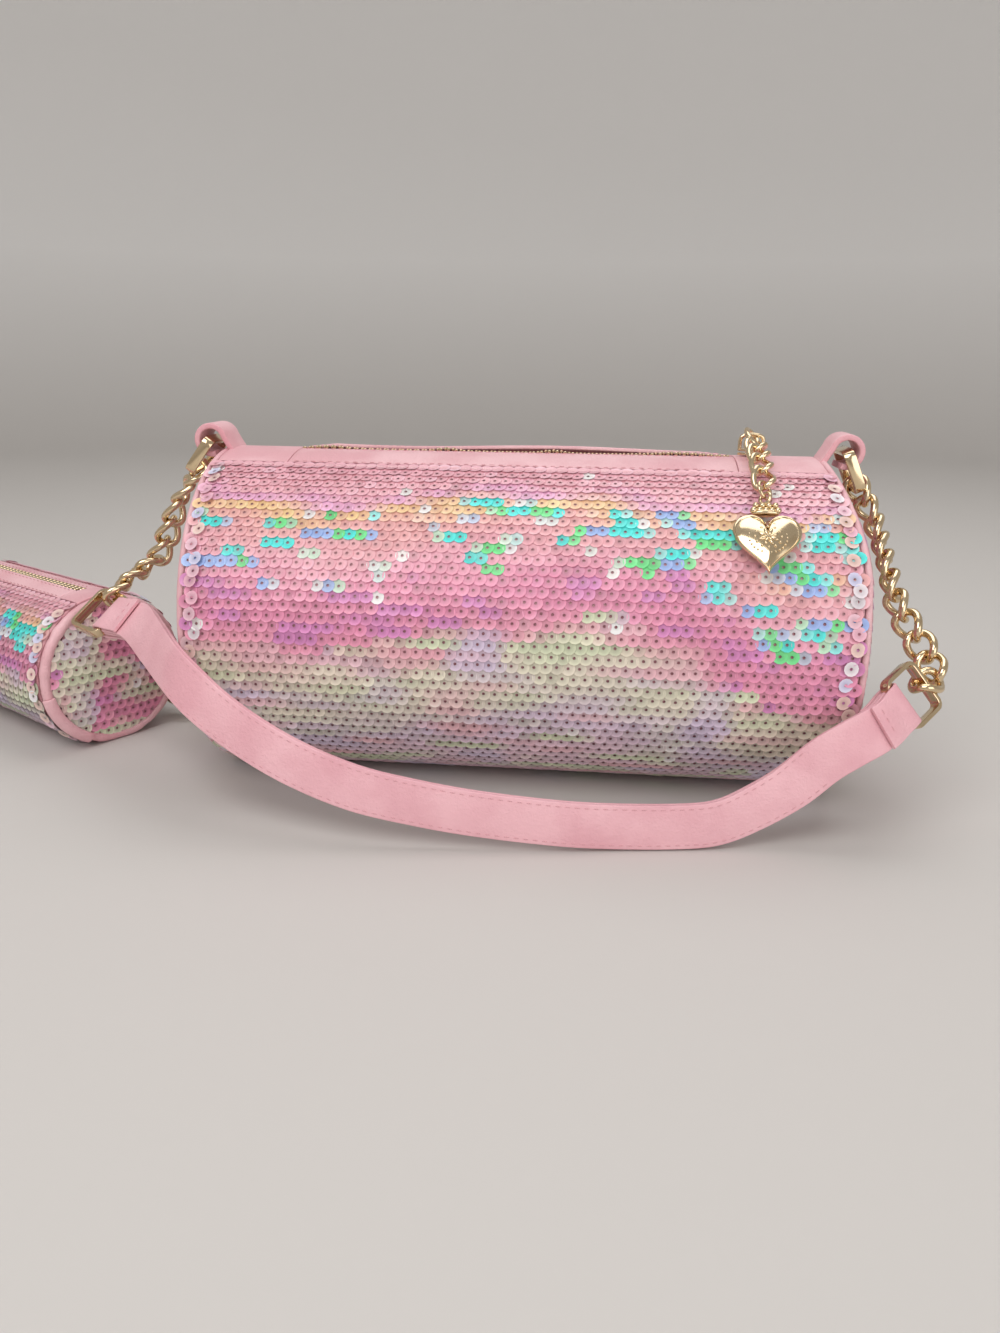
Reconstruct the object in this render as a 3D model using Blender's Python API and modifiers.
"""Sequinned barrel shoulder bag with a zip top, a chain-and-leather strap and a matching pouch.

X runs along the barrel, -Y is the front, +Z is up, and the origin is the middle of the flat
that the barrel rests on. Lengths are in metres.
"""
import math

import bmesh
import bpy
from mathutils import Matrix, Vector

MM = 0.001

# Clearances between pieces
REST_GAP = 0.3 * MM
LINK_GAP = 0.5 * MM
LINK_BITE = 0.5 * MM      # how far neighbouring links of one chain are let into each other

# Sequin rows
SEQUIN_ROW = 3.6 * MM
SEQUIN_RISE = 1.1 * MM
ROW_EDGE_SHARE = 0.85

# Bag barrel
BAG_LENGTH = 228 * MM
BAG_DEPTH = 124 * MM
BAG_ROUND_HEIGHT = 121 * MM
BAG_FLATTENED = 1.7 * MM
BAG_SHELL = 1.2 * MM
BAG_PADDING = 1.2 * MM
BAG_LINING = 0.5 * MM
BAG_BULGE = 9 * MM
BAG_PIPING = 2.4 * MM
BAG_LEATHER = 1.4 * MM
BAG_ZIP_WIDTH = 5.6 * MM
BAG_LEATHER_WIDTH = 19 * MM
BAG_MOUTH_LEFT = 28 * MM
BAG_MOUTH_RIGHT = 39.5 * MM
BAG_SAG = 9 * MM
BAG_SAG_HEIGHT = 34 * MM

# Pouch barrel
POUCH_LENGTH = 110 * MM
POUCH_DIAMETER = 61 * MM
POUCH_FLATTENED = 0.5 * MM
POUCH_SHELL = 1.4 * MM
POUCH_BULGE = 3.5 * MM
POUCH_PIPING = 4.2 * MM
POUCH_LEATHER = 1.2 * MM
POUCH_ZIP_WIDTH = 4.6 * MM
POUCH_LEATHER_WIDTH = 9 * MM
POUCH_MOUTH_NEAR = 17 * MM
POUCH_MOUTH_FAR = 13 * MM
POUCH_BESIDE = 54 * MM
POUCH_FORWARD = 8 * MM
POUCH_HEADING = 147.3
POUCH_WRAP_LENGTH = 26 * MM
POUCH_WRAP = 0.8 * MM
POUCH_WRAP_ANGLE = 323
WRAP_INNER = -30
WRAP_OUTER = 80

# Zip
TAPE_THICKNESS = 0.6 * MM
TAPE_OVERLAP = 7 * MM
TOOTH_PITCH = 4 * MM
TOOTH_WIDTH = 1.5 * MM
TOOTH_HEIGHT = 1.4 * MM
TOOTH_REACH = 0.5 * MM
TOOTH_SPINE = 0.9 * MM
SLIDER_LENGTH = 10 * MM
SLIDER_WIDTH = 7 * MM
SLIDER_THICKNESS = 2.4 * MM
SLIDER_NOSE_SHARE = 0.62
SLIDER_ROUNDING = 0.7 * MM
SLIDER_MARGIN = 1.5 * MM
BRIDGE_WIRE = 1.4 * MM
BRIDGE_LENGTH = 8.4 * MM
BRIDGE_SQUARE_SHARE = 0.25
BRIDGE_CLEAR = 4.3 * MM

# Zip pull: five links, a jump ring, a beaded cap and a heart
PULL_LINK_LENGTH = 11.4 * MM
PULL_LINK_WIDTH = 7.9 * MM
PULL_WIRE = 1.7 * MM
PULL_LINKS = 5
PULL_STANDOFF = 5.4 * MM
JUMP_RING = 7.4 * MM
JUMP_WIRE = 1.2 * MM
CAP_EYE = 5.2 * MM
CAP_WIDTH = 9.4 * MM
CAP_HEIGHT = 4.4 * MM
CAP_THICKNESS = 3 * MM
HEART_WIDTH = 22 * MM
HEART_HEIGHT = 20 * MM
HEART_THICKNESS = 5.4 * MM
HEART_EDGE = 1 * MM
CHARM_LEAN = 10

# Inner slip pocket
POCKET_WIDTH = 130 * MM
POCKET_FROM = -42
POCKET_TO = 22

# End strips: leather bands that stand on the domed ends
STRIP_WIDTH = 15 * MM
STRIP_THICKNESS = 1.6 * MM
STRIP_BOTTOM = 38 * MM
STRIP_TOP = 100 * MM

# Leather tabs that hold the strap's rings
TAB_WIDTH = 15 * MM
TAB_THICKNESS = 2.2 * MM
TAB_LOOP = 12.6 * MM
TAB_ROOT_LENGTH = 11 * MM
TAB_PAST_LEFT = 5.8 * MM
TAB_PAST_RIGHT = -0.4 * MM
TAB_LIFT = 1.2 * MM
TAB_LOOP_START = 120
TAB_LOOP_END = -110

# Flat rectangular rings
RING_ACROSS = 19.4 * MM
RING_REACH = 16 * MM
RING_METAL = 1.6 * MM
RING_BAND = 4 * MM
RING_CORNER = 1.6 * MM

# Flat curb chains
LINK_LENGTH = 14 * MM
LINK_WIDTH = 11.4 * MM
LINK_WIRE = 2.7 * MM

# Leather strap
STRAP_WIDTH = 15 * MM
STRAP_PLY = 1.3 * MM
STRAP_FOLD_LENGTH = 11 * MM
STRAP_FOLD_PLY = 1.1 * MM
FOLD_GAP = 0.6 * MM
STRAP_BAR_ROOM = 1.9 * MM

# Floor links between the bag and the pouch
TETHER_EYE = 9 * MM
TETHER_EYE_WIRE = 1.8 * MM
TETHER_EYE_Y = 14 * MM
TETHER_EYE_Z = 8.5 * MM
POUCH_RING_INSET = 20 * MM
POUCH_RING_ANGLE = 205

RIM_STEPS = 32
LINK_STEPS = 10
TAB_STEPS = 12
FOLD_STEPS = 8
WRAP_STEPS = 8
WRAP_ROLLS = 5
DOME_RINGS = 3
FULL_TURN = 360
TOP_TURN = 90

COLOURS = {
    "sequin": ((0.76, 0.42, 0.50, 1), 0.25, 0.0),
    "leather": ((0.80, 0.44, 0.50, 1), 0.5, 0.0),
    "cloth": ((0.62, 0.36, 0.42, 1), 0.85, 0.0),
    "foam": ((0.85, 0.84, 0.82, 1), 0.9, 0.0),
    "gold": ((0.82, 0.62, 0.34, 1), 0.22, 1.0),
}


# Scene and materials

def clear_scene():
    for old in list(bpy.data.objects):
        bpy.data.objects.remove(old, do_unlink=True)


def new_collection(name):
    collection = bpy.data.collections.new(name)
    bpy.context.scene.collection.children.link(collection)
    return collection


def finish(item, look):
    """Give a piece its own material, made from one of the named looks."""
    colour, roughness, metallic = COLOURS[look]
    material = bpy.data.materials.new(item.name + "_material")
    material.use_nodes = True
    shader = material.node_tree.nodes["Principled BSDF"]
    shader.inputs["Base Color"].default_value = colour
    shader.inputs["Roughness"].default_value = roughness
    shader.inputs["Metallic"].default_value = metallic
    material.diffuse_color = colour
    item.data.materials.append(material)
    return item


def mesh_piece(name, shape, look, place=None):
    mesh = bpy.data.meshes.new(name)
    if place is not None:
        bmesh.ops.transform(shape, matrix=place, verts=shape.verts)
    bmesh.ops.recalc_face_normals(shape, faces=shape.faces)
    shape.to_mesh(mesh)
    shape.free()
    item = bpy.data.objects.new(name, mesh)
    PARTS.objects.link(item)
    mesh.shade_smooth()
    mesh.set_sharp_from_angle(angle=math.radians(40))
    return finish(item, look)


def thicken(item, thickness):
    wall = item.modifiers.new("wall", "SOLIDIFY")
    wall.thickness = thickness
    wall.offset = 0
    wall.use_even_offset = True
    return item


def tube_piece(name, runs, wire, look, cyclic=True, resolution=1):
    """One round wire along each run of points."""
    curve = bpy.data.curves.new(name, "CURVE")
    curve.dimensions = "3D"
    curve.bevel_depth = wire / 2
    curve.bevel_resolution = resolution
    curve.use_fill_caps = True
    for run in runs:
        spline = curve.splines.new("POLY")
        spline.points.add(len(run) - 1)
        for control, point in zip(spline.points, run):
            control.co = (*point, 1)
        spline.use_cyclic_u = cyclic
    item = bpy.data.objects.new(name, curve)
    PARTS.objects.link(item)
    return finish(item, look)


def baked(item):
    """Turn a curve object into a closed mesh object of the same name."""
    bpy.context.view_layer.update()
    graph = bpy.context.evaluated_depsgraph_get()
    mesh = bpy.data.meshes.new_from_object(item.evaluated_get(graph))
    shape = bmesh.new()
    shape.from_mesh(mesh)
    bmesh.ops.remove_doubles(shape, verts=shape.verts, dist=0.01 * MM)
    shape.to_mesh(mesh)
    shape.free()
    name = item.name
    place = item.matrix_world.copy()
    holders = list(item.users_collection)
    bpy.data.objects.remove(item, do_unlink=True)
    solid = bpy.data.objects.new(name, mesh)
    for holder in holders:
        holder.objects.link(solid)
    solid.matrix_world = place
    return solid


def join_to(item, other):
    """Add a second solid to a piece with a Boolean union."""
    PARTS.objects.unlink(other)
    CUTTERS.objects.link(other)
    other.hide_render = True
    other.display_type = "WIRE"
    weld = item.modifiers.new("join_" + other.name, "BOOLEAN")
    weld.operation = "UNION"
    weld.solver = "EXACT"
    weld.object = other
    return item


def plate_piece(name, outlines, thickness, look, place, edge=0):
    """A flat outline with its holes, as thick as asked, set in a place."""
    curve = bpy.data.curves.new(name, "CURVE")
    curve.dimensions = "2D"
    curve.fill_mode = "BOTH"
    curve.extrude = thickness / 2 - edge
    curve.bevel_depth = edge
    curve.bevel_resolution = 1
    for outline in outlines:
        spline = curve.splines.new("POLY")
        spline.points.add(len(outline) - 1)
        for control, point in zip(spline.points, outline):
            control.co = (*point, 0, 1)
        spline.use_cyclic_u = True
    item = bpy.data.objects.new(name, curve)
    PARTS.objects.link(item)
    item.matrix_world = place
    return finish(baked(item), look)


def ribbon_piece(name, centres, acrosses, width, thickness, look, shift=0):
    """A flat band along its centres, as wide as asked along each across vector."""
    shape = bmesh.new()
    rows = []
    for index, (centre, across) in enumerate(zip(centres, acrosses)):
        ahead = centres[min(index + 1, len(centres) - 1)]
        behind = centres[max(index - 1, 0)]
        along = (ahead - behind).normalized()
        side = (across - along * across.dot(along)).normalized()
        middle = centre + side.cross(along) * shift
        rows.append((middle - side * width / 2, middle + side * width / 2))
    edge = [shape.verts.new(point) for point in rows[0]]
    line = shape.edges.new(edge)
    for row in rows[1:]:
        grown = bmesh.ops.extrude_edge_only(shape, edges=[line])
        line = next(part for part in grown["geom"] if isinstance(part, bmesh.types.BMEdge))
        old = [vert for vert in grown["geom"] if isinstance(vert, bmesh.types.BMVert)]
        first = min(old, key=lambda vert: (vert.co - edge[0].co).length)
        second = next(vert for vert in old if vert is not first)
        first.co, second.co = row
        edge = [first, second]
    return thicken(mesh_piece(name, shape, look), thickness)


def smooth_route(points, steps):
    """Points on a smooth curve through a route, with the same number between each pair."""
    padded = [points[0] * 2 - points[1], *points, points[-1] * 2 - points[-2]]
    route = []
    for index in range(1, len(padded) - 2):
        before, start, end, after = padded[index - 1:index + 3]
        for step in range(steps):
            t = step / steps
            route.append(0.5 * (start * 2 + (end - before) * t
                                + (before * 2 - start * 5 + end * 4 - after) * t ** 2
                                + (start * 3 - before - end * 3 + after) * t ** 3))
    route.append(points[-1].copy())
    return route


def pivot(name, point, children):
    """An empty on a joint's axis that carries the pieces that turn or slide there."""
    empty = bpy.data.objects.new(name, None)
    PARTS.objects.link(empty)
    empty.location = point
    bpy.context.view_layer.update()
    for child in children:
        child.parent = empty
        child.matrix_parent_inverse = empty.matrix_world.inverted()
    return empty


# Barrels: the bag and the pouch are built the same way

BAG = {
    "prefix": "",
    "length": BAG_LENGTH,
    "half_depth": BAG_DEPTH / 2,
    "half_height": BAG_ROUND_HEIGHT / 2,
    "centre": BAG_ROUND_HEIGHT / 2 - BAG_FLATTENED,
    "shell": BAG_SHELL,
    "bulge": BAG_BULGE,
    "piping": BAG_PIPING,
    "leather": BAG_LEATHER,
    "zip_width": BAG_ZIP_WIDTH,
    "leather_width": BAG_LEATHER_WIDTH,
    "mouth": (-BAG_LENGTH / 2 + BAG_MOUTH_LEFT, BAG_LENGTH / 2 - BAG_MOUTH_RIGHT),
    "ends": ("left", "right"),
    "sag": BAG_SAG,
    "sag_height": BAG_SAG_HEIGHT,
    "place": Matrix.Identity(4),
}
POUCH = {
    "prefix": "pouch_",
    "length": POUCH_LENGTH,
    "half_depth": POUCH_DIAMETER / 2,
    "half_height": POUCH_DIAMETER / 2,
    "centre": POUCH_DIAMETER / 2 - POUCH_FLATTENED,
    "shell": POUCH_SHELL,
    "bulge": POUCH_BULGE,
    "piping": POUCH_PIPING,
    "leather": POUCH_LEATHER,
    "zip_width": POUCH_ZIP_WIDTH,
    "leather_width": POUCH_LEATHER_WIDTH,
    "mouth": (-POUCH_LENGTH / 2 + POUCH_MOUTH_NEAR, POUCH_LENGTH / 2 - POUCH_MOUTH_FAR),
    "ends": ("near", "far"),
    "sag": 0,
    "sag_height": POUCH_DIAMETER,
    "place": (Matrix.Translation((-BAG_LENGTH / 2 - POUCH_BESIDE, -POUCH_FORWARD, 0))
              @ Matrix.Rotation(math.radians(POUCH_HEADING), 4, "Z")
              @ Matrix.Translation((POUCH_LENGTH / 2, 0, 0))),
}


def section(barrel, inset, degrees):
    """A point of the barrel's cross-section, measured from the back towards the top."""
    turn = math.radians(degrees)
    across = (barrel["half_depth"] - inset) * math.cos(turn)
    height = barrel["centre"] + (barrel["half_height"] - inset) * math.sin(turn)
    return across, max(height, inset)


def drawn_in(barrel, x, z):
    """The right end's top leans towards the middle, as a soft barrel's does."""
    top = barrel["centre"] + barrel["half_height"]
    mouth_end = barrel["mouth"][1]
    along = max(0, (x - mouth_end) / (barrel["length"] / 2 - mouth_end))
    up = max(0, (z - top + barrel["sag_height"]) / barrel["sag_height"])
    return x - barrel["sag"] * along * up ** 1.5


def top_angle(barrel, width):
    """The angle from the top that a width along the section's surface takes."""
    return math.degrees(width / ((barrel["half_depth"] + barrel["half_height"]) / 2))


def arc_piece(barrel, name, look, span, run, inset, thickness, steps):
    """A curved sheet of the barrel between two angles, along a run of X."""
    shape = bmesh.new()
    middle = inset + thickness / 2
    previous = None
    edges = []
    for step in range(steps + 1):
        degrees = span[0] + (span[1] - span[0]) * step / steps
        y, z = section(barrel, middle, degrees)
        vert = shape.verts.new((run[0], y, z))
        if previous is not None:
            edges.append(shape.edges.new((previous, vert)))
        previous = vert
    for begin, end in zip(run, run[1:]):
        grown = bmesh.ops.extrude_edge_only(shape, edges=edges)["geom"]
        bmesh.ops.translate(
            shape, vec=(end - begin, 0, 0),
            verts=[part for part in grown if isinstance(part, bmesh.types.BMVert)])
        edges = [part for part in grown if isinstance(part, bmesh.types.BMEdge)]
    for vert in shape.verts:
        vert.co.x = drawn_in(barrel, vert.co.x, vert.co.z)
    return thicken(mesh_piece(barrel["prefix"] + name, shape, look, barrel["place"]), thickness)


def rowed_piece(barrel, name, look, span, run, thickness):
    """A curved sheet whose outer face steps out at the lower edge of every row of sequins."""
    radius = (barrel["half_depth"] + barrel["half_height"]) / 2
    rows = round(math.radians(span[1] - span[0]) * radius / SEQUIN_ROW)
    profile = []
    for row in range(rows):
        edge = ROW_EDGE_SHARE if row < rows / 2 else 1 - ROW_EDGE_SHARE
        profile += [(row / rows, 0), ((row + edge) / rows, SEQUIN_RISE)]
    profile.append((1, 0))
    shape = bmesh.new()
    faces = []
    previous = None
    for share, rise in profile:
        degrees = span[0] + (span[1] - span[0]) * share
        y, z = section(barrel, -rise, degrees)
        outer = shape.verts.new((run[0], y, max(z, 0)))
        inner = shape.verts.new((run[0], *section(barrel, thickness, degrees)))
        if previous is not None:
            faces.append(shape.faces.new((*previous, outer, inner)))
        previous = (inner, outer)
    for begin, end in zip(run, run[1:]):
        grown = bmesh.ops.extrude_face_region(shape, geom=faces)["geom"]
        if begin != run[0]:
            bmesh.ops.delete(shape, geom=faces, context="FACES_ONLY")
        bmesh.ops.translate(
            shape, vec=(end - begin, 0, 0),
            verts=[part for part in grown if isinstance(part, bmesh.types.BMVert)])
        faces = [part for part in grown if isinstance(part, bmesh.types.BMFace)]
    for vert in shape.verts:
        vert.co.x = drawn_in(barrel, vert.co.x, vert.co.z)
    return mesh_piece(barrel["prefix"] + name, shape, look, barrel["place"])


def dome_piece(barrel, name, look, side, inset, depth, thickness):
    """A domed end, a given depth inside the outer one."""
    shape = bmesh.new()
    rim = bmesh.ops.create_circle(shape, segments=RIM_STEPS, radius=barrel["half_depth"])
    for index, vert in enumerate(rim["verts"]):
        y, z = section(barrel, inset, FULL_TURN * index / RIM_STEPS)
        vert.co = Vector((0, y, z))
    edges = list(shape.edges)
    rings = [1 - step / DOME_RINGS for step in range(DOME_RINGS)]
    for outer, inner in zip(rings, rings[1:]):
        grown = bmesh.ops.extrude_edge_only(shape, edges=edges)["geom"]
        edges = [part for part in grown if isinstance(part, bmesh.types.BMEdge)]
        for vert in (part for part in grown if isinstance(part, bmesh.types.BMVert)):
            vert.co.y *= inner / outer
            vert.co.z = barrel["centre"] + (vert.co.z - barrel["centre"]) * inner / outer
    bmesh.ops.contextual_create(shape, geom=edges)
    bmesh.ops.triangulate(shape, faces=[face for face in shape.faces if len(face.verts) > 4])
    for vert in shape.verts:
        vert.co.x = dome_x(barrel, side, vert.co.y, vert.co.z) - side * (depth + thickness / 2)
    return thicken(mesh_piece(barrel["prefix"] + name, shape, look, barrel["place"]), thickness)


def dome_x(barrel, side, y, z):
    """Where the outer face of a domed end lies at a height and depth."""
    reach = math.hypot(y / barrel["half_depth"], (z - barrel["centre"]) / barrel["half_height"])
    rim = side * barrel["length"] / 2
    flat = drawn_in(barrel, rim, z) if side > 0 else rim
    return flat + side * barrel["bulge"] * (1 - min(reach, 1) ** 2)


def piping_piece(barrel, name, look, side):
    """The round cord sewn round an end, flattened where the barrel rests."""
    radius = barrel["piping"] / 2
    run = []
    for step in range(RIM_STEPS):
        y, z = section(barrel, radius, FULL_TURN * step / RIM_STEPS)
        x = side * barrel["length"] / 2
        if side > 0:
            x = drawn_in(barrel, x, z)
        run.append(barrel["place"] @ Vector((x, y, z)))
    return tube_piece(barrel["prefix"] + name, [run], barrel["piping"], look, resolution=2)


def teeth_piece(barrel, name, side):
    """One row of zip teeth on their cord, which interlock with the other row's."""
    start, end = barrel["mouth"]
    outer = barrel["zip_width"] / 2 - REST_GAP
    inner = outer - TOOTH_SPINE
    count = int((end - start - TOOTH_PITCH) / TOOTH_PITCH)
    shift = TOOTH_PITCH / 2 if side > 0 else 0
    outline = [(end, side * inner), (end, side * outer), (start, side * outer),
               (start, side * inner)]
    for index in range(count):
        left = start + TOOTH_WIDTH / 2 + shift + index * TOOTH_PITCH
        right = left + TOOTH_WIDTH
        outline += [(left, side * inner), (left, -side * TOOTH_REACH),
                    (right, -side * TOOTH_REACH), (right, side * inner)]
    top = barrel["centre"] + barrel["half_height"]
    place = barrel["place"] @ Matrix.Translation((0, 0, top - TOOTH_HEIGHT / 2))
    return plate_piece(barrel["prefix"] + name, [outline], TOOTH_HEIGHT, "gold", place)


def build_barrel(barrel):
    """Shell, ends, piping and zip of one barrel, with its two lips hinged at their seams."""
    prefix = barrel["prefix"]
    half = barrel["length"] / 2
    seam = top_angle(barrel, barrel["zip_width"] / 2 + barrel["leather_width"])
    gap = top_angle(barrel, REST_GAP)
    lip = top_angle(barrel, barrel["zip_width"] / 2)
    edge = half - barrel["piping"] / 2 - REST_GAP
    mouth = barrel["mouth"]
    start, end = mouth
    wrap = (TOP_TURN + seam, FULL_TURN + TOP_TURN - seam)
    rowed_piece(barrel, "sequin_shell", "sequin", wrap, (-edge, end, edge), barrel["shell"])
    panel_inset = barrel["piping"] + REST_GAP
    for side, word in zip((-1, 1), barrel["ends"]):
        dome_piece(barrel, "end_panel_" + word, "sequin", side, panel_inset, 0, barrel["shell"])
        piping_piece(barrel, "rim_piping_" + word, "leather", side)
    leather = barrel["leather"]
    crown = (TOP_TURN - seam + gap, TOP_TURN + seam - gap)
    arc_piece(barrel, "zip_end_" + barrel["ends"][0], "leather", crown,
              (-edge, start - REST_GAP), 0, leather, RIM_STEPS // 4)
    arc_piece(barrel, "zip_end_" + barrel["ends"][1], "leather", crown,
              (end + REST_GAP, edge), 0, leather, RIM_STEPS // 4)
    tape_lap = top_angle(barrel, TAPE_OVERLAP)
    for side, word in ((-1, "front"), (1, "back")):
        inner = TOP_TURN - side * lip
        outer = TOP_TURN - side * (seam - gap)
        cover = arc_piece(barrel, "lip_" + word, "leather", (inner, outer),
                          (start, end), 0, leather, 6)
        tape = arc_piece(barrel, "zip_tape_" + word, "cloth",
                         (inner + side * gap, inner - side * tape_lap), (start, end),
                         leather + REST_GAP, TAPE_THICKNESS, 2)
        teeth = teeth_piece(barrel, "zip_teeth_" + word, side)
        y, z = section(barrel, 0, TOP_TURN - side * (seam - gap / 2))
        hinge = barrel["place"] @ Vector((0, y, z))
        pivot(prefix + "lip_hinge_" + word, hinge, [cover, tape, teeth])


# Zip sliders

def slider_centre(barrel):
    return barrel["mouth"][1] + SLIDER_MARGIN + SLIDER_LENGTH / 2


def slider_parts(barrel):
    """A slider body with a wire bridge, lying on the closed end of the zip."""
    prefix = barrel["prefix"]
    top = barrel["centre"] + barrel["half_height"] + REST_GAP
    centre = Vector((slider_centre(barrel), 0, top + SLIDER_THICKNESS / 2))
    shape = bmesh.new()
    size = Matrix.Diagonal((SLIDER_LENGTH, SLIDER_WIDTH, SLIDER_THICKNESS, 1))
    bmesh.ops.create_cube(shape, size=1, matrix=Matrix.Translation(centre) @ size)
    for vert in shape.verts:
        if vert.co.x < centre.x:
            vert.co.y *= SLIDER_NOSE_SHARE
    body = mesh_piece(prefix + "zip_slider", shape, "gold", barrel["place"])
    rounding = body.modifiers.new("rounding", "BEVEL")
    rounding.width = SLIDER_ROUNDING
    rounding.segments = 2
    arch = []
    foot = centre.z + SLIDER_THICKNESS / 2 - BRIDGE_WIRE
    rise = bridge_height(barrel) - foot
    for step in range(9):
        turn = math.pi * step / 8
        arch.append(barrel["place"] @ Vector((
            centre.x - BRIDGE_LENGTH / 2 * math.cos(turn), 0,
            foot + rise * math.sin(turn) ** BRIDGE_SQUARE_SHARE)))
    bridge = baked(tube_piece(prefix + "slider_bridge", [arch], BRIDGE_WIRE, "gold",
                              cyclic=False, resolution=2))
    return join_to(body, bridge)


def bridge_height(barrel):
    """The height of the bridge wire's centre over the slider."""
    return (barrel["centre"] + barrel["half_height"] + REST_GAP + SLIDER_THICKNESS
            + BRIDGE_CLEAR + BRIDGE_WIRE / 2)


# Chains

def oval(centre, along, normal, length, width, wire):
    """The wire's centre line of an oval link."""
    across = normal.cross(along).normalized()
    along = along.normalized()
    radius = (width - wire) / 2
    straight = (length - width) / 2
    points = []
    for step in range(LINK_STEPS):
        turn = 2 * math.pi * (step + 0.5) / LINK_STEPS
        push = straight if math.cos(turn) > 0 else -straight
        points.append(centre + along * (radius * math.cos(turn) + push)
                      + across * radius * math.sin(turn))
    return points


def link_run(route, first_normal, last_normal, length, width, wire):
    """Ovals laid end to end along a route, each turned a quarter from the one before."""
    total = sum((end - start).length for start, end in zip(route, route[1:]))
    count = round(total / (length - 2 * wire + LINK_BITE))
    joints = evenly(route, count)
    length = total / count + 2 * wire - LINK_BITE
    links = []
    normal = first_normal
    ends = list(zip(joints, joints[1:]))
    flat = []
    for start, end in ends:
        along = (end - start).normalized()
        normal = (normal - along * normal.dot(along)).normalized()
        flat.append(normal.copy())
    along = (joints[-1] - joints[-2]).normalized()
    goal = (last_normal - along * last_normal.dot(along)).normalized()
    plain = Matrix.Rotation(math.radians(90 * (count - 1)), 3, along) @ flat[-1]
    extra = math.atan2(plain.cross(goal).dot(along), plain.dot(goal))
    if extra > math.pi / 2:
        extra -= math.pi
    if extra < -math.pi / 2:
        extra += math.pi
    for index, ((start, end), base) in enumerate(zip(ends, flat)):
        along = (end - start).normalized()
        turn = math.radians(90 * index) + extra * index / max(count - 1, 1)
        face = Matrix.Rotation(turn, 3, along) @ base
        links.append(oval((start + end) / 2, along, face, length, width, wire))
    return links


def chain_piece(name, links, wire):
    """One chain: its even links joined to its odd ones where they touch."""
    evens = baked(tube_piece(name, links[::2], wire, "gold"))
    if len(links) < 2:
        return evens
    odds = baked(tube_piece(name + "_odd_links", links[1::2], wire, "gold"))
    return join_to(evens, odds)


def reach_past(wire):
    """How far a chain's end link reaches past its last joint, to the wire's middle."""
    return (wire - LINK_BITE) / 2


def evenly(route, count):
    """Cut a route into equal straight steps."""
    lengths = [0]
    for start, end in zip(route, route[1:]):
        lengths.append(lengths[-1] + (end - start).length)
    points = []
    for step in range(count + 1):
        goal = lengths[-1] * step / count
        index = max(i for i, value in enumerate(lengths[:-1]) if value <= goal + 1e-9)
        piece = lengths[index + 1] - lengths[index]
        points.append(route[index].lerp(route[index + 1], (goal - lengths[index]) / piece))
    return points


# Rectangular rings

def ring_piece(name, centre, reach, bar):
    """A flat-band rectangular ring: bar is along its long side, reach along its short one."""
    bar = (bar - reach * bar.dot(reach)).normalized()
    normal = reach.cross(bar).normalized()
    place = Matrix((reach, bar, normal)).transposed().to_4x4()
    place.translation = centre
    outlines = []
    for trim, corner in ((0, RING_CORNER), (RING_METAL, RING_CORNER / 2)):
        half_x = RING_REACH / 2 - trim
        half_y = RING_ACROSS / 2 - trim
        outline = []
        for sign_x, sign_y in ((1, 1), (-1, 1), (-1, -1), (1, -1)):
            middle = (sign_x * (half_x - corner), sign_y * (half_y - corner))
            base = math.atan2(sign_y, sign_x) - math.pi / 4
            for step in range(3):
                turn = base + math.pi / 4 * step
                outline.append((middle[0] + corner * math.cos(turn),
                                middle[1] + corner * math.sin(turn)))
        outlines.append(outline)
    return plate_piece(name, outlines, RING_BAND, "gold", place)


clear_scene()
PARTS = new_collection("sequin_shoulder_bag")
CUTTERS = new_collection("cutters")


# The bag's barrel, padding, lining, pocket and end strips

build_barrel(BAG)
bag_seam = top_angle(BAG, BAG_ZIP_WIDTH / 2 + BAG_LEATHER_WIDTH)
bag_wrap = (TOP_TURN + bag_seam, FULL_TURN + TOP_TURN - bag_seam)
inner_edge = BAG_LENGTH / 2 - BAG_PIPING / 2 - REST_GAP * 4
padding_inset = BAG_SHELL + REST_GAP
lining_inset = padding_inset + BAG_PADDING + REST_GAP
pocket_inset = lining_inset + BAG_LINING + REST_GAP
mouth_end = BAG["mouth"][1]
wall_depth = BAG_SHELL + REST_GAP
arc_piece(BAG, "padding", "foam", bag_wrap, (-inner_edge, mouth_end, inner_edge),
          padding_inset, BAG_PADDING, RIM_STEPS)
arc_piece(BAG, "lining", "cloth", bag_wrap, (-inner_edge, mouth_end, inner_edge),
          lining_inset, BAG_LINING, RIM_STEPS)
arc_piece(BAG, "inner_pocket", "cloth", (FULL_TURN + POCKET_FROM, FULL_TURN + POCKET_TO),
          (-POCKET_WIDTH / 2, POCKET_WIDTH / 2), pocket_inset, BAG_LINING, 10)
for side, word in ((-1, "left"), (1, "right")):
    dome_piece(BAG, "end_lining_" + word, "cloth", side, BAG_PIPING + REST_GAP,
               wall_depth, BAG_LINING)
    strip = []
    for step in range(9):
        z = STRIP_BOTTOM + (STRIP_TOP - STRIP_BOTTOM) * step / 8
        x = dome_x(BAG, side, 0, z) + side * (REST_GAP + STRIP_THICKNESS / 2)
        strip.append(Vector((x, 0, z)))
    ribbon_piece("end_strip_" + word, strip, [Vector((0, 1, 0))] * len(strip),
                 STRIP_WIDTH, STRIP_THICKNESS, "leather")


# The bag's slider and pull

def on_front(barrel, standoff, degrees, x):
    y, z = section(barrel, -standoff, degrees)
    return Vector((x, y, z))


def eye_points(centre, along, normal, diameter, wire):
    return oval(centre, along, normal, diameter, diameter, wire)


def quarter_turned(along, index):
    """The face direction of a pull's link, which stands at 45 degrees to the barrel."""
    turn = math.radians(45 + 90 * index)
    return Matrix.Rotation(turn, 3, along) @ Vector((1, 0, 0))


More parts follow.
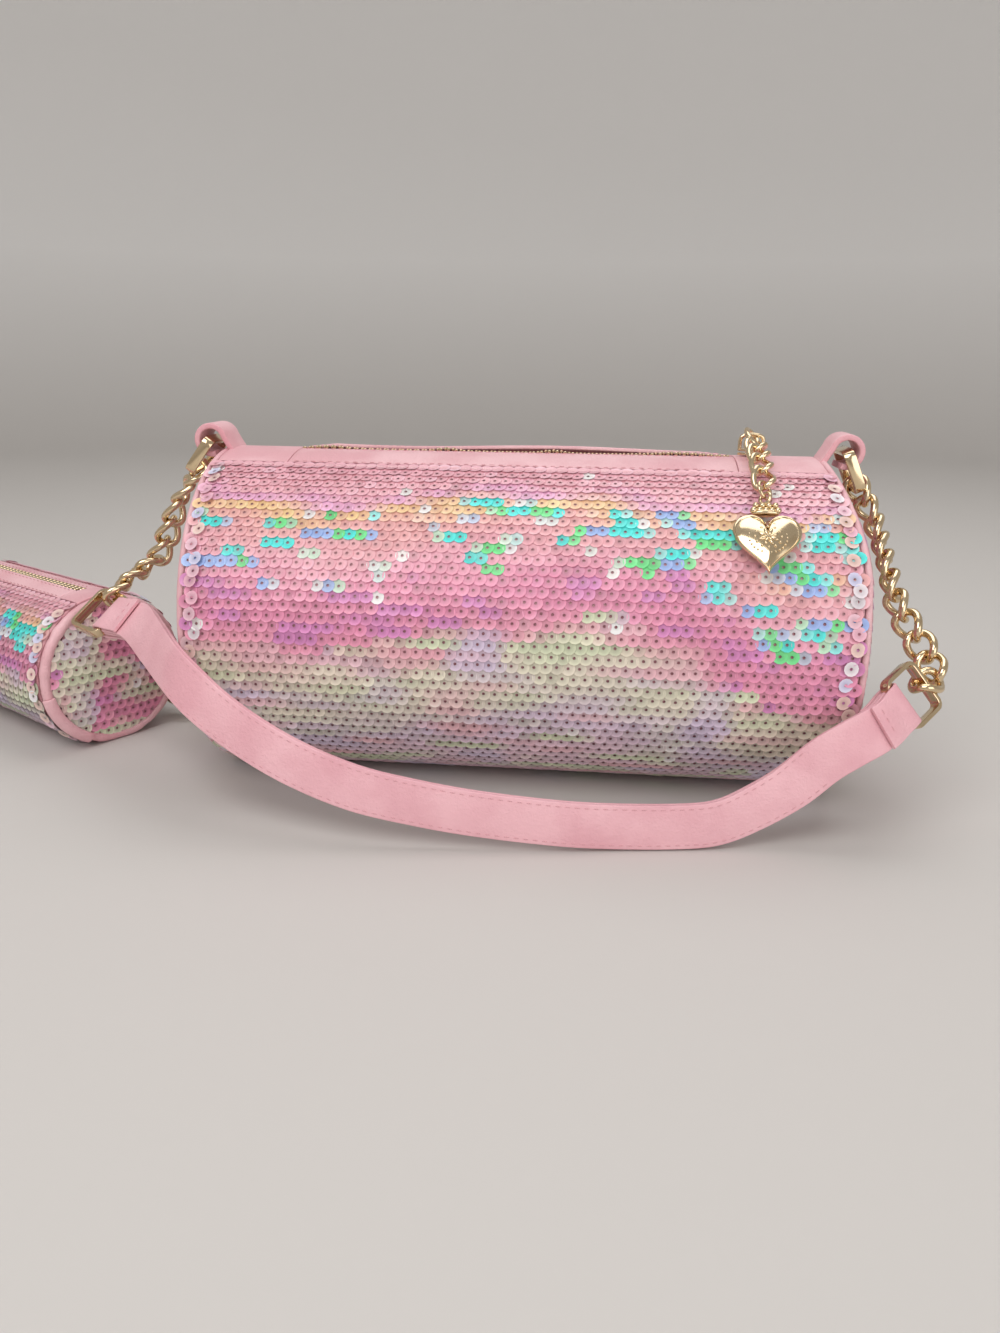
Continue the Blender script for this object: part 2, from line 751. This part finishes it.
def hanging_links(barrel, name, count):
    """Links that hang from the slider's bridge down the front, just off the surface."""
    x = slider_centre(barrel)
    behind = BRIDGE_WIRE / 2 + LINK_GAP * 2 + PULL_WIRE / 2 - reach_past(PULL_WIRE)
    joints = [Vector((x, behind, bridge_height(barrel)))]
    pitch = PULL_LINK_LENGTH - 2 * PULL_WIRE + LINK_BITE
    turned = TOP_TURN
    for link in range(count):
        while (on_front(barrel, PULL_STANDOFF, turned, x) - joints[-1]).length < pitch:
            turned += 0.1
        joints.append(on_front(barrel, PULL_STANDOFF, turned, x))
    ovals = []
    for index, (start, end) in enumerate(zip(joints, joints[1:])):
        along = (end - start).normalized()
        points = oval((start + end) / 2, along, quarter_turned(along, index),
                      PULL_LINK_LENGTH, PULL_LINK_WIDTH, PULL_WIRE)
        ovals.append([barrel["place"] @ point for point in points])
    return joints, turned, chain_piece(barrel["prefix"] + name, ovals, PULL_WIRE)


slider = slider_parts(BAG)
pull_x = slider_centre(BAG)
bridge_point = Vector((pull_x, 0, bridge_height(BAG)))
pull_joints, degrees, links = hanging_links(BAG, "pull_links", PULL_LINKS)

swivel = pull_joints[-1]
hang = math.radians(degrees + CHARM_LEAN)
down = Vector((0, -math.sin(hang), math.cos(hang))).normalized()
outward = Vector((1, 0, 0)).cross(down)
jump_back = (PULL_WIRE + JUMP_WIRE) / 2 + LINK_GAP - reach_past(PULL_WIRE)
jump_centre = swivel + down * ((JUMP_RING - JUMP_WIRE) / 2 - jump_back)
jump = tube_piece("jump_ring", [eye_points(jump_centre, down, quarter_turned(down, PULL_LINKS),
                                           JUMP_RING, JUMP_WIRE)], JUMP_WIRE, "gold")

# The cap hangs from the jump ring by an eye, and the heart hangs under the cap
jump_bottom = jump_centre + down * (JUMP_RING - JUMP_WIRE) / 2
eye_top = jump_bottom - down * (JUMP_WIRE + LINK_GAP)
eye_centre = eye_top + down * (CAP_EYE - JUMP_WIRE) / 2
eye_face = quarter_turned(down, PULL_LINKS + 1)
eye = baked(tube_piece("cap_eye", [eye_points(eye_centre, down, eye_face, CAP_EYE, JUMP_WIRE)],
                       JUMP_WIRE, "gold"))
cap_centre = eye_centre + down * (CAP_EYE / 2 - JUMP_WIRE / 2 + CAP_HEIGHT / 2)
shape = bmesh.new()
bmesh.ops.create_uvsphere(shape, u_segments=16, v_segments=8, radius=1)
frame = Matrix((Vector((1, 0, 0)), down, outward)).transposed().to_4x4()
frame.translation = cap_centre
size = Matrix.Diagonal((CAP_WIDTH / 2, CAP_HEIGHT / 2, CAP_THICKNESS / 2, 1))
cap = join_to(mesh_piece("heart_cap", shape, "gold", frame @ size), eye)
heart_top = cap_centre + down * (CAP_HEIGHT / 2 + REST_GAP)
outline = []
for step in range(36):
    turn = 2 * math.pi * step / 36
    across = math.sin(turn) ** 3
    rise = (13 * math.cos(turn) - 5 * math.cos(2 * turn) - 2 * math.cos(3 * turn)
            - math.cos(4 * turn)) / 16
    outline.append((across * (HEART_WIDTH / 2 - HEART_EDGE),
                    -rise * (HEART_HEIGHT / 2 - HEART_EDGE)))
heart_place = frame.copy()
heart_place.translation = heart_top + down * HEART_HEIGHT / 2
heart = plate_piece("heart", [outline], HEART_THICKNESS, "gold", heart_place, edge=HEART_EDGE)
pull_lower = pivot("heart_hinge", swivel, [jump, cap, heart])
pull_upper = pivot("pull_hinge", bridge_point, [links, pull_lower])
pivot("slider_slide", bridge_point, [slider, pull_upper])


# Leather tabs, rings, chains and the strap

strap_pieces = []


def ring_at(name, bar_centre, reach, bar):
    reach = reach.normalized()
    centre = bar_centre + reach * (RING_REACH - RING_METAL) / 2
    return ring_piece(name, centre, reach, bar), centre + reach * (RING_REACH - RING_METAL) / 2


tab_rings = {}
floor = BAG["centre"] + BAG["half_height"] + REST_GAP + TAB_THICKNESS / 2
strap_axis = Vector((0, 0, floor + TAB_LIFT))
for word, side, past, reach in (("left", -1, TAB_PAST_LEFT, Vector((-0.6, 0, -0.8))),
                                ("right", 1, TAB_PAST_RIGHT, Vector((0.4, 0, -0.917)))):
    hub = strap_axis + Vector((side * (BAG_LENGTH / 2 + past), 0, 0))
    middle = (TAB_LOOP - TAB_THICKNESS) / 2
    inner = hub.x - side * TAB_LOOP / 2
    points = [Vector((inner - side * TAB_ROOT_LENGTH * share, 0, floor))
              for share in (1, 0.6, 0.25)]
    for step in range(TAB_STEPS + 1):
        turn = math.radians(TAB_LOOP_START + (TAB_LOOP_END - TAB_LOOP_START) * step / TAB_STEPS)
        points.append(hub + Vector((side * middle * math.cos(turn), 0,
                                    middle * math.sin(turn))))
    ribbon_piece("tab_" + word, points, [Vector((0, 1, 0))] * len(points),
                 TAB_WIDTH, TAB_THICKNESS, "leather")
    ring, far_bar = ring_at("tab_ring_" + word, hub, reach, Vector((0, 1, 0)))
    strap_pieces.append(ring)
    tab_rings[word] = (far_bar, reach.normalized())

# Routes are in shares of half the barrel's length, half its depth and its height
route_size = Vector((BAG_LENGTH / 2, BAG_DEPTH / 2, BAG_ROUND_HEIGHT))
STRAP_ROUTE = [Vector(shares) * route_size for shares in (
    (-1.337, -0.484, 0.474), (-1.231, -0.629, 0.484), (-1.104, -0.919, 0.461),
    (-0.983, -1.169, 0.42), (-0.869, -1.274, 0.348), (-0.744, -1.339, 0.28),
    (-0.596, -1.387, 0.215), (-0.427, -1.419, 0.162), (-0.259, -1.419, 0.129),
    (-0.072, -1.403, 0.101), (0.162, -1.371, 0.078), (0.333, -1.323, 0.067),
    (0.517, -1.274, 0.066), (0.614, -1.242, 0.076), (0.706, -1.202, 0.111),
    (0.809, -1.169, 0.172), (0.895, -1.16, 0.25), (0.965, -1.15, 0.298),
    (1.04, -1.1, 0.335), (1.098, -0.985, 0.365))]
STRAP_ACROSS = [Vector(across) for across in (
    (0.1, -0.9, -0.43), (0, -0.8, -0.6), (-0.25, -0.45, -0.85), (-0.2, -0.3, -0.93),
    (-0.2, -0.25, -0.95), (-0.2, -0.2, -0.95), (-0.2, -0.2, -0.95), (-0.2, -0.2, -0.95),
    (-0.1, -0.15, -0.98), (-0.1, -0.12, -0.98), (0, -0.1, -1), (0, -0.1, -1),
    (0, -0.1, -1), (0, -0.1, -1), (0.05, -0.12, -0.98), (0.1, -0.18, -0.95),
    (0.13, -0.24, -0.95), (0.15, -0.3, -0.93), (0.17, -0.38, -0.9), (0.2, -0.5, -0.84))]
centres = smooth_route(STRAP_ROUTE, 3)
acrosses = smooth_route(STRAP_ACROSS, 3)
ply_shift = (STRAP_PLY + REST_GAP) / 2
for word, shift in (("outer", ply_shift), ("inner", -ply_shift)):
    strap_pieces.append(ribbon_piece("strap_" + word + "_ply", centres, acrosses,
                                     STRAP_WIDTH, STRAP_PLY, "leather", shift))

fold_offset = STRAP_PLY + REST_GAP / 2 + FOLD_GAP + STRAP_FOLD_PLY / 2
bar_room = RING_BAND / 2 + LINK_GAP + STRAP_FOLD_PLY / 2
strap_rings = {}
for word, order, reach in (("left", centres, Vector((-0.95, 0.3, 0))),
                           ("right", centres[::-1], Vector((-0.1, 0.5, 0.85)))):
    end = order[0]
    out = (order[0] - order[1]).normalized()
    across = (acrosses if word == "left" else acrosses[::-1])[0]
    across = (across - out * across.dot(out)).normalized()
    normal = across.cross(out)
    reach = (reach - across * reach.dot(across)).normalized()
    bar = end + out * (RING_METAL / 2 + STRAP_BAR_ROOM)
    points = []
    lengths = 0
    legs = []
    for index in range(len(order) - 1):
        if lengths > STRAP_FOLD_LENGTH:
            break
        run = (order[index] - order[index + 1]).normalized()
        row = (acrosses if word == "left" else acrosses[::-1])[index]
        row = (row - run * row.dot(run)).normalized()
        spread = max(0, 1 - lengths / (STRAP_FOLD_LENGTH / 2))
        offset = fold_offset + (bar_room - fold_offset) * spread ** 2
        legs.append((order[index], row.cross(run) * offset, row))
        lengths += (order[index] - order[index + 1]).length
    rows = []
    for centre, push, row in reversed(legs):
        points.append(centre + push)
        rows.append(row)
    for step in range(1, FOLD_STEPS):
        turn = math.pi * step / FOLD_STEPS
        points.append(bar + normal * bar_room * math.cos(turn) + out * bar_room * math.sin(turn))
        rows.append(across)
    for centre, push, row in legs:
        points.append(centre - push)
        rows.append(row)
    strap_pieces.append(ribbon_piece("strap_fold_" + word, points, rows, STRAP_WIDTH,
                                     STRAP_FOLD_PLY, "leather"))
    ring, far_bar = ring_at("strap_ring_" + word, bar, reach, across)
    strap_pieces.append(ring)
    strap_rings[word] = (bar, far_bar, reach.normalized(), across)

link_bore = LINK_WIDTH / 2 - LINK_WIRE - LINK_GAP
bar_seat = math.sqrt(link_bore ** 2 - (RING_BAND / 2) ** 2) - RING_METAL / 2
hook = (LINK_WIDTH - LINK_WIRE) / 2 - bar_seat - reach_past(LINK_WIRE)
bar_l, far_l, reach_l, across_l = strap_rings["left"]
side_l = (bar_l + far_l) / 2 - across_l * (RING_ACROSS - RING_METAL) / 2 + reach_l * RING_METAL
bar_r, far_r, reach_r, across_r = strap_rings["right"]
CHAIN_LEFT_ROUTE = [Vector(shares) * route_size for shares in (
    (-1.198, -0.008, 0.815), (-1.25, -0.016, 0.694), (-1.303, -0.024, 0.603))]
CHAIN_LEFT_ROUTE.append(side_l - across_l * LINK_LENGTH * 0.75)
CHAIN_RIGHT_ROUTE = [Vector(shares) * route_size for shares in (
    (1.105, -0.1, 0.8), (1.125, -0.32, 0.7), (1.145, -0.5, 0.6))]
CHAIN_RIGHT_ROUTE.append(far_r + reach_r * LINK_LENGTH * 0.5)
for word, route, last, first_normal, last_normal in (
        ("left", CHAIN_LEFT_ROUTE, side_l + across_l * hook, Vector((0, 1, 0)), reach_l),
        ("right", CHAIN_RIGHT_ROUTE, far_r - reach_r * hook, Vector((0, 1, 0)), across_r)):
    far_bar, reach = tab_rings[word]
    route = smooth_route([far_bar - reach * hook, *route, last], 6)
    runs = link_run(route, first_normal, last_normal, LINK_LENGTH, LINK_WIDTH, LINK_WIRE)
    strap_pieces.append(chain_piece("chain_" + word, runs, LINK_WIRE))
pivot("strap_hinge", strap_axis, strap_pieces)


# The pouch

build_barrel(POUCH)
pouch_slider = slider_parts(POUCH)
pouch_joints, degrees, pouch_pull = hanging_links(POUCH, "pull", 1)
pouch_bridge = POUCH["place"] @ Vector((slider_centre(POUCH), 0, bridge_height(POUCH)))
pouch_pull_pivot = pivot("pouch_pull_hinge", pouch_bridge, [pouch_pull])
pivot("pouch_slider_slide", pouch_bridge, [pouch_slider, pouch_pull_pivot])


def wrap_piece(barrel, name, side, turn, length):
    """A leather patch wrapped over the end of the piping where its two ends meet."""
    cord = barrel["piping"] / 2
    middle = cord + REST_GAP + POUCH_WRAP / 2
    radius = (barrel["half_depth"] + barrel["half_height"]) / 2 - cord
    span = math.degrees(length / radius)
    shape = bmesh.new()
    rows = []
    for step in range(WRAP_STEPS + 1):
        around = math.radians(turn + span * (step / WRAP_STEPS - 0.5))
        row = []
        for rise in range(WRAP_ROLLS + 1):
            roll = math.radians(WRAP_INNER + (WRAP_OUTER - WRAP_INNER) * rise / WRAP_ROLLS)
            out = radius + middle * math.sin(roll)
            x = side * (barrel["length"] / 2 + middle * math.cos(roll))
            row.append(Vector((x, out * math.cos(around),
                               barrel["centre"] + out * math.sin(around))))
        rows.append(row)
    first = [shape.verts.new(point) for point in rows[0]]
    edges = [shape.edges.new(pair) for pair in zip(first, first[1:])]
    for before, row in zip(rows, rows[1:]):
        grown = bmesh.ops.extrude_edge_only(shape, edges=edges)["geom"]
        for vert in (part for part in grown if isinstance(part, bmesh.types.BMVert)):
            nearest = min(range(WRAP_ROLLS + 1), key=lambda i: (before[i] - vert.co).length)
            vert.co = row[nearest]
        edges = [part for part in grown if isinstance(part, bmesh.types.BMEdge)]
    piece = mesh_piece(barrel["prefix"] + name, shape, "leather", barrel["place"])
    return thicken(piece, POUCH_WRAP)


wrap_piece(POUCH, "piping_wrap", -1, POUCH_WRAP_ANGLE, POUCH_WRAP_LENGTH)


# Floor links: an eye on the bag's left end, the links, and a ring on the pouch's side

eye_reach = TETHER_EYE / 2 + REST_GAP
eye_x = dome_x(BAG, -1, TETHER_EYE_Y, TETHER_EYE_Z) - eye_reach
eye_centre = Vector((eye_x, TETHER_EYE_Y, TETHER_EYE_Z))
tube_piece("tether_eye", [eye_points(eye_centre, Vector((1, 0, 0)), Vector((0, 0, 1)),
                                     TETHER_EYE, TETHER_EYE_WIRE)], TETHER_EYE_WIRE, "gold")

pouch_turn = POUCH["place"].to_3x3()
ring_reach = eye_reach + SEQUIN_RISE
y, z = section(POUCH, -ring_reach, POUCH_RING_ANGLE)
ring_local = Vector((-POUCH_LENGTH / 2 + POUCH_RING_INSET, y, z))
ring_centre = POUCH["place"] @ ring_local
y, z = section(POUCH, -ring_reach - TETHER_EYE, POUCH_RING_ANGLE)
radial = (POUCH["place"] @ Vector((ring_local.x, y, z)) - ring_centre).normalized()
heading = pouch_turn @ Vector((1, 0, 0))
tube_piece("pouch_ring", [eye_points(ring_centre, heading, radial.cross(heading),
                                     TETHER_EYE, TETHER_EYE_WIRE)], TETHER_EYE_WIRE, "gold")
wire_hook = (TETHER_EYE_WIRE / 2 + REST_GAP + LINK_WIRE / 2 - reach_past(LINK_WIRE))
eye_rim = (TETHER_EYE - TETHER_EYE_WIRE) / 2
tether_end = ring_centre - heading * (eye_rim - wire_hook)
tether_start = eye_centre + Vector((-eye_rim + wire_hook, 0, 0))
tether_span = tether_end - tether_start
TETHER_SHARES = ((0.253, -0.070, -0.074), (0.535, -0.106, -0.124), (0.771, -0.082, -0.090))
route = [tether_start]
for along, sideways, rise in TETHER_SHARES:
    push = Vector((0, sideways, rise)) * tether_span.length
    route.append(tether_start + tether_span * along + push)
route = smooth_route([*route, tether_end], 6)
runs = link_run(route, Vector((0, 1, 0)), radial, LINK_LENGTH, LINK_WIDTH, LINK_WIRE)
chain_piece("tether_chain", runs, LINK_WIRE)
tether_pin = ring_centre - heading * eye_rim
pivot("pouch_swing", tether_pin,
      [item for item in PARTS.objects if item.name.startswith("pouch_") and item.parent is None])
